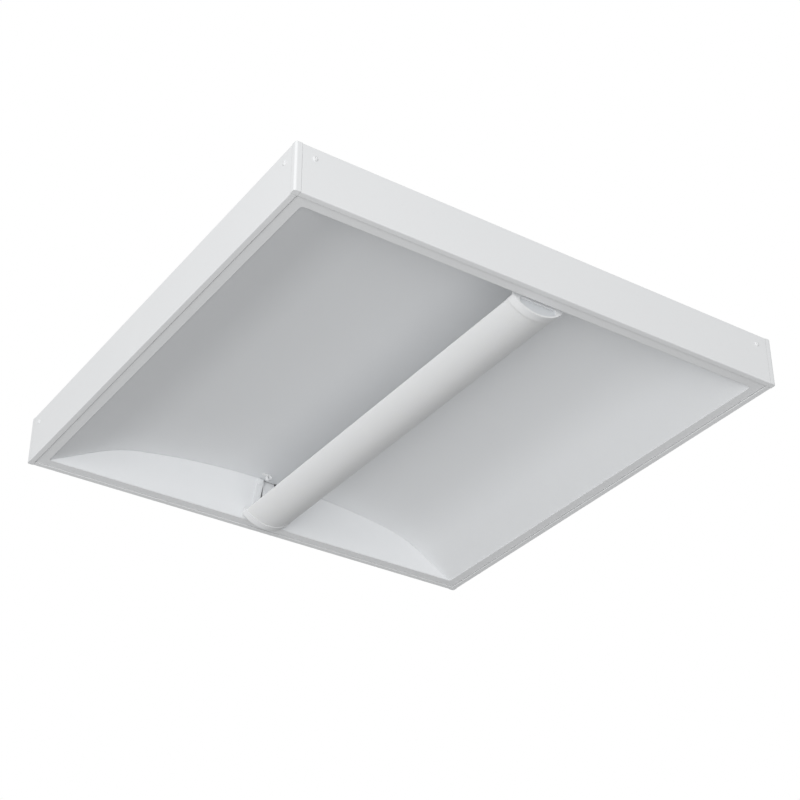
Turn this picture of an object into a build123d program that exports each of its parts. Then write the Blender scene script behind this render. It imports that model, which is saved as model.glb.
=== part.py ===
"""A surface mount troffer: a square ceiling light with an arched reflector and a long lens.

Millimetres, +Z up. The origin is the middle of the housing's top, the face that meets the
ceiling, so the light hangs below it. Y runs along the lens, and near means towards -Y.
"""
from build123d import *
from math import atan, atan2, cos, sin, sqrt
import os

os.makedirs("parts", exist_ok=True)

# Frame round the light
frame_side = 620.0
frame_height = 60.0
rail_sheet = 1.5
rail_bend_radius = 1.2
lip_width = 7.0
top_flange_width = 22.0
mitre_gap = 0.2
post_leg = 7.5
post_seam = 0.2
post_wall = 3.0
post_edge_radius = 2.5
tongue_reach = 28.0
sheet_fit = 0.1
corner_screw_in = 22.0
corner_screw_drop = 13.0

# Ring round the opening
ring_recess = 1.0
ring_gap = 0.8
ring_face = 11.7
ring_sheet = 0.8
ring_wall_height = 13.0
ring_corner_radius = 4.0

# Housing behind the reflector
pan_sheet = 1.0
pan_side_gap = 0.7
pan_foot_gap = 0.3
pan_step_gap = 0.6
ceiling_hole_in = 110.0
ceiling_hole_radius = 3.2
rail_screw_in = 16.0
rail_screw_along = 150.0
entry_in = 52.0
entry_end_in = 82.0
entry_hole_radius = 11.1
bushing_wall = 2.6
bushing_lip = 2.5
bushing_depth = 6.0

# Arch of the reflector: how far each point lies in from the opening and below the crown
reflector_sheet = 0.8
crown_drop = 6.0
arch_flat_half = 20.0
shoulder_in = 110.5
shoulder_drop = 11.8
haunch_in = 50.5
haunch_drop = 29.7
foot_flange = 8.0
foot_flange_short = 6.5
foot_flange_gap = 1.5
foot_flange_lap = 0.4
reflector_overhang = 2.0

# End plates, which lean inwards as they rise
end_lean = 0.35
end_sheet = 0.8
slot_half = 9.6
slot_sill = 10.0

# Lens door
lens_radius = 43.0
lens_half_width = 31.5
lens_drop = 9.2
lens_wall = 2.0
lens_lip_reach = 8.5
lens_lip_wall = 1.6
lens_shoulder = 1.0
cap_end_gap = 7.5
cap_face = 3.4
cap_recess = 1.6
cap_recess_half = 23.5
cap_recess_drop = 0.5
cap_recess_corner = 2.0
cap_rim = 2.0
cap_skirt = 10.5
cap_skirt_wall = 0.7
cap_fit = 0.1
cap_rise = 9.0
cap_top_half = 30.0
cap_top_radius = 5.0

# Hanger arms and hinge
arm_sheet = 1.5
arm_gap = 1.0
arm_half = 8.2
arm_foot_half = 12.0
arm_foot_length = 14.0
arm_top_rise = 1.5
hinge_in = 7.0
hinge_rise = 4.0
hinge_pin_radius = 1.8
hinge_fit = 0.06
hinge_ear_wall = 1.8
hinge_skin = 1.0
hinge_pin_end_gap = 0.3

# Brackets behind the end plates
bracket_sheet = 1.5
bracket_half = 24.0
bracket_end_gap = 4.4
bracket_foot_rise = 24.1
bracket_flange = 17.5
bracket_screw_in = 8.0
bracket_screw_gap = 1.0
ledge_half = 12.0
ledge_gap = 0.6

# LED tray and its boards
tray_gap = 0.4
tray_sheet = 1.5
tray_half = 23.5
tray_wall_height = 6.5
board_half_width = 10.0
board_thickness = 1.6
board_end_gap = 12.0
board_middle_gap = 2.0
chip_length = 3.5
chip_width = 2.8
chip_height = 0.7
chips_per_board = 22
board_screw_side = 6.5
board_screws_per_board = 3
connector_length = 8.0
connector_width = 6.0
connector_height = 3.0
connector_in = 4.0
connector_side = 3.0

# Latch levers, on the left of each slot
latch_slot_gap = 0.6
latch_top_radius = 4.8
latch_tip_width = 6.5
latch_crease_gap = 0.5
latch_sheet = 1.5
latch_standoff = 0.4
latch_foot_rise = 3.0
latch_foot_height = 7.0
latch_foot_reach = 14.0
latch_nose_width = 5.0
latch_nose_length = 1.3
latch_nose_edge = 1.0
latch_rivet_radius = 2.0
latch_rivet_head = 2.9
latch_rivet_head_height = 1.0
latch_fit = 0.05

# Driver and wiring, above the right-hand side of the arch
driver_in = 28.0
driver_width = 38.0
driver_height = 22.0
driver_length = 250.0
driver_ear = 10.0
driver_sheet = 0.8
driver_edge_radius = 2.0
driver_board_depth = 6.0
driver_board_gap = 0.5
driver_board_end_gap = 5.0
driver_post_radius = 2.5
driver_post_in = 4.0
driver_post_end_in = 5.0
driver_part_gap = 1.0
transformer_width = 24.0
transformer_length = 28.0
choke_width = 18.0
choke_along = 69.0
choke_height = 11.0
capacitor_radius = 5.0
capacitor_side = 6.0
capacitor_along = 45.0
capacitor_pitch = 18.0
capacitors = 3
terminal_width = 22.0
terminal_length = 30.0
terminal_height = 16.0
terminal_edge = 1.5
terminal_from_entry = 53.0
terminal_driver_gap = 25.0
terminal_wire_drop = 8.8
terminal_wire_radius = 2.2
terminal_well_radius = 2.4
terminal_screw_depth = 2.0
terminal_screw_length = 4.0
terminal_poles = 3
earth_from_entry = 23.0

# Small loop for the LED leads
clip_radius = 3.6
clip_wall = 1.0
clip_width = 4.0
clip_foot = 9.0
clip_along_gap = 12.5
clip_side = 10.0

# Springs between the ring and the housing
spring_sheet = 0.5
spring_width = 20.0
spring_height = 17.0
spring_along = 150.0
spring_foot_gap = 2.0

# Screws, all of one make in two sizes
screw_dome = 25.0
recess_share = 1.1
recess_width = 0.26
small_screw = 1.4
small_head = 2.4
small_head_height = 1.2
medium_screw = 1.9
medium_head = 2.8
medium_head_height = 1.3
hole_fit = 0.1

# How far a cut runs on past the face that it goes through
past_face = 1.0

# Places worked out from the sizes above
half = frame_side / 2
lip_z = -frame_height
rail_end = half - post_leg - post_seam
flange_edge = half - top_flange_width
ring_z = lip_z + ring_recess
ring_top = ring_z + ring_sheet
ring_out = half - lip_width - ring_gap
mouth = ring_out - ring_face
pan_half = ring_out - ring_sheet - pan_side_gap
pan_raised = flange_edge - pan_step_gap
pan_border_z = -(rail_sheet + sheet_fit)
pan_under = -pan_sheet
arch_z = -crown_drop
cap_out = mouth - cap_end_gap
arm_out = cap_out - cap_face - arm_gap
arm_in = arm_out - arm_sheet
lens_low = lip_z - lens_drop
lens_centre_z = lens_low + lens_radius
lens_corner_z = lens_centre_z - sqrt(lens_radius ** 2 - lens_half_width ** 2)
lens_top = lens_corner_z + lens_shoulder
hinge_x = lens_half_width - hinge_in
hinge_z = lens_top + hinge_rise
tray_z = lens_top + tray_gap
tray_floor_top = tray_z + tray_sheet
board_z = tray_z - board_thickness
arm_top_z = arch_z + arm_top_rise
ledge_z = arm_top_z - arm_sheet - sheet_fit
bracket_low = ring_top + bracket_foot_rise
slot_low = lip_z + slot_sill
entry_x = half - entry_in
entry_along = half - entry_end_in
terminal_along = entry_along - terminal_from_entry
earth_screw_along = entry_along - earth_from_entry
driver_x = half - driver_in - driver_width / 2
driver_tip = terminal_along - terminal_length / 2 - terminal_driver_gap
driver_y = driver_tip - driver_ear - driver_length / 2
driver_ear_ys = (driver_tip - driver_ear / 2, driver_tip - 1.5 * driver_ear - driver_length)
lean_angle = atan(end_lean)
SIDES = (("near", -1), ("far", 1))


def block(x_span, y_span, z_span, mode=Mode.ADD):
    """A rectangular block between three pairs of limits, each given in either order."""
    (x0, x1), (y0, y1), (z0, z1) = (sorted(span) for span in (x_span, y_span, z_span))
    with BuildSketch(Plane.XY.offset(z0)) as outline:
        with Locations(((x0 + x1) / 2, (y0 + y1) / 2)):
            Rectangle(x1 - x0, y1 - y0)
    extrude(outline.sketch, amount=z1 - z0, mode=mode)


def rod(start, end, radius, mode=Mode.ADD):
    """A round bar from one point to another, or a hole where the mode subtracts."""
    path = Vector(end) - Vector(start)
    with BuildSketch(Plane(origin=start, z_dir=path)) as outline:
        Circle(radius)
    extrude(outline.sketch, amount=path.length, mode=mode)


def screw(seat, out, head_radius, head_height, shank_radius, shank_length):
    """A domed screw with a cross recess; seat is the point under its head, out points to its top."""
    under_head = Plane(origin=seat, z_dir=out)
    with BuildSketch(under_head) as shank:
        Circle(shank_radius)
    extrude(shank.sketch, amount=-shank_length)
    with BuildSketch(under_head) as head:
        Circle(head_radius)
    extrude(head.sketch, amount=head_height, taper=screw_dome)
    with BuildSketch(under_head.offset(head_height)) as recess:
        Rectangle(head_radius * recess_share, head_radius * recess_width)
        Rectangle(head_radius * recess_width, head_radius * recess_share)
    extrude(recess.sketch, amount=-head_height / 2, mode=Mode.SUBTRACT)


def screw_hole(start, end, radius):
    """A clearance hole for a screw's shank."""
    rod(start, end, radius + hole_fit, mode=Mode.SUBTRACT)


def end_face(z, outside=0.0):
    """How far from the middle the end plates' room side lies at a height."""
    return mouth - end_lean * (z - ring_top) + outside


def turned(turn):
    """The plane square to a side rail, for the rail that lies this many degrees round from near."""
    along = Vector(1, 0, 0).rotate(Axis.Z, turn)
    outward = Vector(0, 1, 0).rotate(Axis.Z, turn)
    return Plane(origin=(0, 0, 0), x_dir=outward, z_dir=along)


def around(turn, x, y, z):
    """A point given beside the near rail, carried round to another side."""
    return Vector(x, y, z).rotate(Axis.Z, turn)


# Side rails: a folded channel with a narrow lip below and a mitred flange above
RAIL_TURNS = (("near", 0), ("right", 90), ("far", 180), ("left", 270))
corner_hole_x = half - corner_screw_in
for rail_name, rail_turn in RAIL_TURNS:
    with BuildPart() as side_rail:
        with BuildSketch(turned(rail_turn)) as profile:
            with BuildLine():
                Polyline(
                    (-half, lip_z),
                    (-half + lip_width, lip_z),
                    (-half + lip_width, lip_z + rail_sheet),
                    (-half + rail_sheet, lip_z + rail_sheet),
                    (-half + rail_sheet, -rail_sheet),
                    (-flange_edge, -rail_sheet),
                    (-flange_edge, 0),
                    (-half, 0),
                    close=True,
                )
            make_face()
            fillet(profile.vertices().group_by(Axis.X)[0], rail_bend_radius)
        extrude(amount=rail_end, both=True)
        mitre_plane = Plane(origin=(0, 0, 0), x_dir=around(rail_turn, 1, 0, 0), z_dir=(0, 0, 1))
        for hand in (-1, 1):
            with BuildSketch(mitre_plane):
                with BuildLine():
                    Polyline(
                        (hand * (rail_end + past_face), -rail_end - past_face - mitre_gap),
                        (hand * (flange_edge - past_face), -flange_edge + past_face - mitre_gap),
                        (hand * (rail_end + past_face), -flange_edge + past_face),
                        close=True,
                    )
                make_face()
            extrude(amount=-2 * rail_sheet, mode=Mode.SUBTRACT)
            screw_hole(
                around(rail_turn, hand * corner_hole_x, -half - past_face, -corner_screw_drop),
                around(rail_turn, hand * corner_hole_x, -half + rail_sheet + past_face, -corner_screw_drop),
                medium_screw,
            )
            screw_hole(
                around(rail_turn, hand * rail_screw_along, -half + rail_screw_in, -2 * rail_sheet),
                around(rail_turn, hand * rail_screw_along, -half + rail_screw_in, past_face),
                medium_screw,
            )
    side_rail.part.label = f"side_rail_{rail_name}"
    export_step(side_rail.part, f"parts/side_rail_{rail_name}.step")

# Corner posts: a rounded edge that shows, with tongues that run on behind the rails
POST_TURNS = (("near_left", 0), ("near_right", 90), ("far_right", 180), ("far_left", 270))
tongue_face = half - rail_sheet - sheet_fit
tongue_back = half - post_wall
for post_name, post_turn in POST_TURNS:
    post_plane = Plane(origin=(0, 0, 0), x_dir=around(post_turn, 1, 0, 0), z_dir=(0, 0, 1))
    with BuildPart() as corner_post:
        with BuildSketch(post_plane.offset(lip_z)):
            with BuildLine():
                Polyline(
                    (-half, -half),
                    (-half + post_leg, -half),
                    (-half + post_leg, -tongue_back),
                    (-tongue_back, -tongue_back),
                    (-tongue_back, -half + post_leg),
                    (-half, -half + post_leg),
                    close=True,
                )
            make_face()
        extrude(amount=frame_height)
        for end_z in (lip_z, -rail_sheet):
            with BuildSketch(post_plane.offset(end_z)):
                with Locations((-half + post_leg / 2, -half + post_leg / 2)):
                    Rectangle(post_leg, post_leg)
            extrude(amount=rail_sheet)
        with BuildSketch(post_plane.offset(lip_z + rail_sheet + sheet_fit)):
            with BuildLine():
                Polyline(
                    (-tongue_face, -tongue_face),
                    (-half + tongue_reach, -tongue_face),
                    (-half + tongue_reach, -tongue_back),
                    (-tongue_back, -tongue_back),
                    (-tongue_back, -half + tongue_reach),
                    (-tongue_face, -half + tongue_reach),
                    close=True,
                )
            make_face()
        extrude(amount=frame_height - 2 * (rail_sheet + sheet_fit))
        outer_corner = around(post_turn, -half, -half, lip_z / 2)
        fillet(corner_post.edges().filter_by(Axis.Z).sort_by_distance(outer_corner)[0], post_edge_radius)
        hole_z = -corner_screw_drop
        screw_hole(
            around(post_turn, -corner_hole_x, -half, hole_z),
            around(post_turn, -corner_hole_x, -tongue_back + past_face, hole_z),
            medium_screw,
        )
        screw_hole(
            around(post_turn, -half, -corner_hole_x, hole_z),
            around(post_turn, -tongue_back + past_face, -corner_hole_x, hole_z),
            medium_screw,
        )
    corner_post.part.label = f"corner_post_{post_name}"
    export_step(corner_post.part, f"parts/corner_post_{post_name}.step")

with BuildPart() as corner_screws:
    for _, turn in RAIL_TURNS:
        for hand in (-1, 1):
            screw(
                around(turn, hand * corner_hole_x, -half, -corner_screw_drop),
                around(turn, 0, -1, 0),
                medium_head,
                medium_head_height,
                medium_screw,
                post_wall + past_face,
            )
corner_screws.part.label = "corner_screws"
export_step(corner_screws.part, "parts/corner_screws.step")

with BuildPart() as rail_screws:
    for _, turn in RAIL_TURNS:
        for hand in (-1, 1):
            screw(
                around(turn, hand * rail_screw_along, -half + rail_screw_in, pan_border_z - pan_sheet),
                (0, 0, -1),
                medium_head,
                medium_head_height,
                medium_screw,
                pan_sheet - pan_border_z - sheet_fit,
            )
rail_screws.part.label = "rail_screws"
export_step(rail_screws.part, "parts/rail_screws.step")

# Housing: a flat pan whose middle stands up between the rails' flanges to meet the ceiling
pan_inner = pan_half - pan_sheet
pan_foot_z = ring_top + pan_foot_gap
ceiling_hole = half - ceiling_hole_in
bracket_screw_x = bracket_half - bracket_screw_in
bracket_screw_y = end_face(arch_z) + bracket_screw_gap
bracket_out = mouth - bracket_end_gap
with BuildPart() as housing_pan:
    block((-pan_half, pan_half), (-pan_half, pan_half), (pan_foot_z, pan_border_z))
    block((-pan_raised, pan_raised), (-pan_raised, pan_raised), (pan_border_z, 0))
    block((-pan_inner, pan_inner), (-pan_inner, pan_inner), (pan_foot_z, pan_border_z - pan_sheet),
          mode=Mode.SUBTRACT)
    pan_recess = pan_raised - pan_sheet
    block((-pan_recess, pan_recess), (-pan_recess, pan_recess), (pan_border_z - pan_sheet, pan_under),
          mode=Mode.SUBTRACT)
    for x in (-ceiling_hole, ceiling_hole):
        for y in (-ceiling_hole, ceiling_hole):
            rod((x, y, 2 * pan_under), (x, y, past_face), ceiling_hole_radius, mode=Mode.SUBTRACT)
    rod((entry_x, entry_along, 2 * pan_under), (entry_x, entry_along, past_face), entry_hole_radius,
        mode=Mode.SUBTRACT)
    for _, turn in RAIL_TURNS:
        for hand in (-1, 1):
            screw_hole(
                around(turn, hand * rail_screw_along, -half + rail_screw_in, pan_border_z - 2 * pan_sheet),
                around(turn, hand * rail_screw_along, -half + rail_screw_in, past_face),
                medium_screw,
            )
    for y in driver_ear_ys:
        screw_hole((driver_x, y, 2 * pan_under), (driver_x, y, past_face), medium_screw)
    screw_hole((entry_x, earth_screw_along, 2 * pan_under), (entry_x, earth_screw_along, past_face),
               medium_screw)
    for _, side in SIDES:
        for hand in (-1, 1):
            x = hand * bracket_screw_x
            screw_hole((x, side * bracket_screw_y, 2 * pan_under), (x, side * bracket_screw_y, past_face),
                       medium_screw)
housing_pan.part.label = "housing_pan"
export_step(housing_pan.part, "parts/housing_pan.step")

with BuildPart() as entry_bushing:
    bushing_radius = entry_hole_radius - sheet_fit
    rod((entry_x, entry_along, -bushing_depth), (entry_x, entry_along, 0), bushing_radius)
    bushing_seat = pan_under - sheet_fit
    rod((entry_x, entry_along, bushing_seat - bushing_lip), (entry_x, entry_along, bushing_seat),
        bushing_radius + bushing_lip)
    rod((entry_x, entry_along, -bushing_depth - past_face), (entry_x, entry_along, past_face),
        bushing_radius - bushing_wall, mode=Mode.SUBTRACT)
entry_bushing.part.label = "entry_bushing"
export_step(entry_bushing.part, "parts/entry_bushing.step")

# Wiring
terminal_top = pan_under - sheet_fit
pole_pitch = terminal_length / terminal_poles
pole_ys = [terminal_along + pole_pitch * (i - (terminal_poles - 1) / 2) for i in range(terminal_poles)]
with BuildPart() as terminal_block:
    block(
        (entry_x - terminal_width / 2, entry_x + terminal_width / 2),
        (terminal_along - terminal_length / 2, terminal_along + terminal_length / 2),
        (terminal_top - terminal_height, terminal_top),
    )
    chamfer(terminal_block.edges().group_by(Axis.Z)[0], terminal_edge)
    for pole_y in pole_ys:
        wire_z = terminal_top - terminal_wire_drop
        rod((entry_x - terminal_width, pole_y, wire_z), (entry_x + terminal_width, pole_y, wire_z),
            terminal_wire_radius, mode=Mode.SUBTRACT)
        for hand in (-1, 1):
            pole_x = entry_x + hand * terminal_width / 4
            rod((pole_x, pole_y, wire_z), (pole_x, pole_y, terminal_top - terminal_height - past_face),
                terminal_well_radius, mode=Mode.SUBTRACT)
terminal_block.part.label = "terminal_block"
export_step(terminal_block.part, "parts/terminal_block.step")

with BuildPart() as terminal_screws:
    for pole_y in pole_ys:
        for hand in (-1, 1):
            screw(
                (entry_x + hand * terminal_width / 4, pole_y, terminal_top - terminal_height + terminal_screw_depth),
                (0, 0, -1),
                terminal_well_radius - sheet_fit,
                small_head_height,
                small_screw,
                terminal_screw_length,
            )
terminal_screws.part.label = "terminal_screws"
export_step(terminal_screws.part, "parts/terminal_screws.step")

with BuildPart() as earth_screw:
    screw((entry_x, earth_screw_along, pan_under), (0, 0, -1), medium_head, medium_head_height,
          medium_screw, pan_sheet - sheet_fit)
earth_screw.part.label = "earth_screw"
export_step(earth_screw.part, "parts/earth_screw.step")

# Driver
base_top = pan_under - sheet_fit
base_under = base_top - driver_sheet
driver_half = driver_width / 2
driver_low = base_top - driver_height
with BuildPart() as driver_base:
    block(
        (driver_x - driver_half, driver_x + driver_half),
        (driver_tip - driver_length - 2 * driver_ear, driver_tip),
        (base_under, base_top),
    )
    for y in driver_ear_ys:
        screw_hole((driver_x, y, base_under - past_face), (driver_x, y, base_top + past_face), medium_screw)
driver_base.part.label = "driver_base"
export_step(driver_base.part, "parts/driver_base.step")

with BuildPart() as driver_cover:
    block((driver_x - driver_half, driver_x + driver_half),
          (driver_y - driver_length / 2, driver_y + driver_length / 2), (driver_low, base_under))
    fillet(driver_cover.edges().filter_by(Axis.Y).group_by(Axis.Z)[0], driver_edge_radius)
    block(
        (driver_x - driver_half + driver_sheet, driver_x + driver_half - driver_sheet),
        (driver_y - driver_length / 2 + driver_sheet, driver_y + driver_length / 2 - driver_sheet),
        (driver_low + driver_sheet, base_under),
        mode=Mode.SUBTRACT,
    )
driver_cover.part.label = "driver_cover"
export_step(driver_cover.part, "parts/driver_cover.step")

driver_board_top = base_under - driver_board_depth + board_thickness
driver_board_under = driver_board_top - board_thickness
board_side = driver_half - driver_sheet - driver_board_gap
board_tip = driver_length / 2 - driver_board_end_gap
with BuildPart() as driver_board:
    block((driver_x - board_side, driver_x + board_side), (driver_y - board_tip, driver_y + board_tip),
          (driver_board_under, driver_board_top))
    for hand_x in (-1, 1):
        for hand_y in (-1, 1):
            x = driver_x + hand_x * (board_side - driver_post_in)
            y = driver_y + hand_y * (board_tip - driver_post_end_in)
            rod((x, y, driver_board_top), (x, y, base_under), driver_post_radius)
driver_board.part.label = "driver_board"
export_step(driver_board.part, "parts/driver_board.step")

with BuildPart() as driver_parts:
    part_low = driver_low + driver_sheet + driver_part_gap
    block(
        (driver_x - transformer_width / 2, driver_x + transformer_width / 2),
        (driver_y - transformer_length / 2, driver_y + transformer_length / 2),
        (part_low, driver_board_under),
    )
    block(
        (driver_x - choke_width / 2, driver_x + choke_width / 2),
        (driver_y + choke_along - choke_width / 2, driver_y + choke_along + choke_width / 2),
        (driver_board_under - choke_height, driver_board_under),
    )
    for i in range(capacitors):
        x = driver_x - capacitor_side
        y = driver_y - capacitor_along - i * capacitor_pitch
        rod((x, y, driver_board_under), (x, y, part_low), capacitor_radius)
driver_parts.part.label = "driver_parts"
export_step(driver_parts.part, "parts/driver_parts.step")

with BuildPart() as driver_screws:
    for y in driver_ear_ys:
        screw((driver_x, y, base_under), (0, 0, -1), medium_head, medium_head_height, medium_screw,
              driver_sheet + pan_sheet)
driver_screws.part.label = "driver_screws"
export_step(driver_screws.part, "parts/driver_screws.step")

# Ring round the opening, with an upturned wall outside the housing's
with BuildPart() as face_frame:
    block((-ring_out, ring_out), (-ring_out, ring_out), (ring_z, ring_z + ring_wall_height))
    wall_in = ring_out - ring_sheet
    block((-wall_in, wall_in), (-wall_in, wall_in), (ring_top, ring_z + ring_wall_height), mode=Mode.SUBTRACT)
    with BuildSketch(Plane.XY.offset(ring_z)):
        RectangleRounded(2 * mouth, 2 * mouth, ring_corner_radius)
    extrude(amount=ring_sheet, mode=Mode.SUBTRACT)
face_frame.part.label = "face_frame"
export_step(face_frame.part, "parts/face_frame.step")

with BuildPart() as frame_clips:
    flange_top = ring_top + reflector_sheet
    leg_out = pan_inner - sheet_fit
    for hand in (-1, 1):
        for y in (-spring_along, spring_along):
            y_span = (y - spring_width / 2, y + spring_width / 2)
            block((hand * (mouth + spring_foot_gap), hand * leg_out), y_span, (flange_top, flange_top + spring_sheet))
            block((hand * (leg_out - spring_sheet), hand * leg_out), y_span,
                  (flange_top, flange_top + spring_height))
frame_clips.part.label = "frame_clips"
export_step(frame_clips.part, "parts/frame_clips.step")


def arch_stations(rise):
    """Crown edge, shoulder, haunch and foot of the half arch, each with its slope, raised square to it."""
    points = (
        (arch_flat_half, arch_z),
        (mouth - shoulder_in, arch_z - shoulder_drop),
        (mouth - haunch_in, arch_z - haunch_drop),
        (mouth, ring_top),
    )
    stations = []
    slope = 0.0
    for i, (x, z) in enumerate(points):
        if i:
            chord = atan2(z - points[i - 1][1], x - points[i - 1][0])
            slope = 2 * chord - slope
        stations.append((x - rise * sin(slope), z + rise * cos(slope), slope))
    return stations


def arch_area(rise, mode=Mode.ADD):
    """The area under the arch, raised by some thickness, down to a little below the ring."""
    stations = arch_stations(rise)
    floor = ring_top - 2 * ring_sheet
    with BuildLine() as outline:
        Line((0, stations[0][1]), stations[0][:2])
        for (x0, z0, slope), (x1, z1, _) in zip(stations, stations[1:]):
            TangentArc((x0, z0), (x1, z1), tangent=(cos(slope), sin(slope)))
        Polyline(stations[-1][:2], (stations[-1][0], floor), (0, floor))
        mirror(about=Plane.YZ)
    make_face(outline.edges(), mode=mode)


# Reflector: one arched sheet, with a short flange along each foot
with BuildPart() as reflector:
    with BuildSketch(Plane.XZ):
        arch_area(reflector_sheet)
        arch_area(0, mode=Mode.SUBTRACT)
        with Locations((0, ring_top - 2 * ring_sheet)):
            Rectangle(2 * half, 4 * ring_sheet, mode=Mode.SUBTRACT)
    extrude(amount=half, both=True)
    overhang = end_sheet / cos(lean_angle) + reflector_overhang
    low_z = ring_top - past_face
    with BuildSketch(Plane.YZ):
        with BuildLine():
            Polyline(
                (-end_face(low_z, overhang), low_z),
                (end_face(low_z, overhang), low_z),
                (end_face(0, overhang), 0),
                (-end_face(0, overhang), 0),
                close=True,
            )
        make_face()
    extrude(amount=half, both=True, mode=Mode.INTERSECT)
    flange_half = mouth - foot_flange_gap
    for hand in (-1, 1):
        block((hand * (mouth - foot_flange_lap), hand * (mouth + foot_flange)), (-flange_half, flange_half),
              (ring_top, ring_top + reflector_sheet))
reflector.part.label = "reflector"
export_step(reflector.part, "parts/reflector.step")

# Latch levers turn on a rivet that stands square to the leaning end plate
latch_x = -(slot_half + latch_slot_gap + latch_top_radius)
latch_z = arch_z - (latch_top_radius + latch_crease_gap) * cos(lean_angle)
latch_foot_drop = (latch_z - ring_top - latch_foot_rise) / cos(lean_angle)


def latch_plane(side, outward=0.0):
    """The end plate's room side at a latch's rivet; local x runs towards +X at the far end."""
    normal = Vector(0, -side * cos(lean_angle), -sin(lean_angle))
    origin = Vector(latch_x, side * end_face(latch_z), latch_z) + normal * outward
    return Plane(origin=origin, x_dir=(side, 0, 0), z_dir=normal)


for end_name, side in SIDES:
    # End plate, cut to the arch, with a flange on the ring and a slot for the hanger arm
    with BuildPart() as end_plate:
        plate_depth = end_sheet / cos(lean_angle)
        with BuildSketch(Plane.YZ):
            with BuildLine():
                Polyline(
                    (side * end_face(ring_top), ring_top),
                    (side * end_face(0), 0),
                    (side * end_face(0, plate_depth), 0),
                    (side * end_face(ring_top, plate_depth), ring_top),
                    close=True,
                )
            make_face()
        extrude(amount=half, both=True)
        with BuildSketch(Plane.XZ):
            arch_area(-sheet_fit)
        extrude(amount=half, both=True, mode=Mode.INTERSECT)
        flange_half = mouth - foot_flange_short
        block((-flange_half, flange_half), (side * end_face(ring_top), side * (mouth + foot_flange)),
              (ring_top, ring_top + end_sheet))
        block((-slot_half, slot_half), (side * end_face(0), side * end_face(slot_low, plate_depth)),
              (slot_low, 0), mode=Mode.SUBTRACT)
        with BuildSketch(latch_plane(side)) as rivet_hole:
            Circle(latch_rivet_radius + latch_fit)
        extrude(rivet_hole.sketch, amount=2 * end_sheet, both=True, mode=Mode.SUBTRACT)
    end_plate.part.label = f"end_plate_{end_name}"
    export_step(end_plate.part, f"parts/end_plate_{end_name}.step")

    # Latch lever: a tapered strap with a foot to the left and a nose that faces the end cap
    with BuildPart() as latch:
        left_top = -side * latch_top_radius
        right = side * latch_top_radius
        left_tip = side * (latch_top_radius - latch_tip_width)
        foot_left = -side * latch_foot_reach
        foot_top = -latch_foot_drop + latch_foot_height
        with BuildSketch(latch_plane(side, latch_standoff)):
            Circle(latch_top_radius)
            with BuildLine():
                Polyline(
                    (left_top, 0),
                    (left_tip, foot_top),
                    (foot_left, foot_top),
                    (foot_left, -latch_foot_drop),
                    (right, -latch_foot_drop),
                    (right, 0),
                    close=True,
                )
            make_face()
            Circle(latch_rivet_radius + latch_fit, mode=Mode.SUBTRACT)
        extrude(amount=latch_sheet)
        with BuildSketch(latch_plane(side, latch_standoff + latch_sheet)):
            with Locations((foot_left + side * latch_nose_width / 2, -latch_foot_drop + latch_foot_height / 2)):
                RectangleRounded(latch_nose_width, latch_foot_height - latch_nose_edge, latch_nose_edge)
        extrude(amount=latch_nose_length)
    latch.part.label = f"latch_{end_name}"
    export_step(latch.part, f"parts/latch_{end_name}.step")

    # Bracket behind the end plate: it hangs from the housing and carries the arm on a ledge
    with BuildPart() as hanger_bracket:
        back_y = bracket_out
        block((-bracket_half, bracket_half), (side * (back_y - bracket_sheet), side * back_y),
              (bracket_low, pan_under - sheet_fit))
        block((-bracket_half, bracket_half), (side * (back_y - bracket_flange), side * back_y),
              (pan_under - sheet_fit - bracket_sheet, pan_under - sheet_fit))
        ledge_in = arm_out + ledge_gap
        block((-ledge_half, ledge_half), (side * ledge_in, side * back_y), (ledge_z - bracket_sheet, ledge_z))
        ledge_screw_y = (ledge_in + back_y - bracket_sheet) / 2
        screw_hole((0, side * ledge_screw_y, ledge_z - 2 * bracket_sheet),
                   (0, side * ledge_screw_y, ledge_z + past_face), small_screw)
        for hand in (-1, 1):
            x = hand * bracket_screw_x
            screw_hole((x, side * bracket_screw_y, -3 * bracket_sheet), (x, side * bracket_screw_y, 0),
                       medium_screw)
    hanger_bracket.part.label = f"hanger_bracket_{end_name}"
    export_step(hanger_bracket.part, f"parts/hanger_bracket_{end_name}.step")

    # Hanger arm: an upright plate across the tray's end, with a tab on the ledge and a foot on the tray
    with BuildPart() as hanger_arm:
        arm_span = (side * arm_in, side * arm_out)
        bar_low = hinge_z - hinge_pin_radius - hinge_ear_wall
        bar_high = hinge_z + hinge_pin_radius + hinge_ear_wall
        block((-tray_half, hinge_x), arm_span, (bar_low, bar_high))
        rod((hinge_x, side * arm_in, hinge_z), (hinge_x, side * arm_out, hinge_z),
            hinge_pin_radius + hinge_ear_wall)
        block((-arm_half, arm_half), arm_span, (bar_low, arm_top_z))
        block((-arm_half, arm_half), (side * arm_in, side * (back_y - bracket_sheet - sheet_fit)),
              (arm_top_z - arm_sheet, arm_top_z))
        block((-arm_foot_half, arm_foot_half), (side * (arm_in - arm_foot_length), side * arm_out),
              (tray_floor_top, tray_floor_top + arm_sheet))
        rod((hinge_x, side * (arm_in - past_face), hinge_z), (hinge_x, side * (arm_out + past_face), hinge_z),
            hinge_pin_radius, mode=Mode.SUBTRACT)
        screw_hole((0, side * ledge_screw_y, arm_top_z - 2 * arm_sheet),
                   (0, side * ledge_screw_y, arm_top_z + past_face), small_screw)
        for hand in (-1, 1):
            foot_x = hand * arm_foot_half / 2
            foot_y = side * (arm_in - arm_foot_length / 2)
            screw_hole((foot_x, foot_y, tray_z), (foot_x, foot_y, tray_floor_top + 2 * arm_sheet), small_screw)
    hanger_arm.part.label = f"hanger_arm_{end_name}"
    export_step(hanger_arm.part, f"parts/hanger_arm_{end_name}.step")

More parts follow.
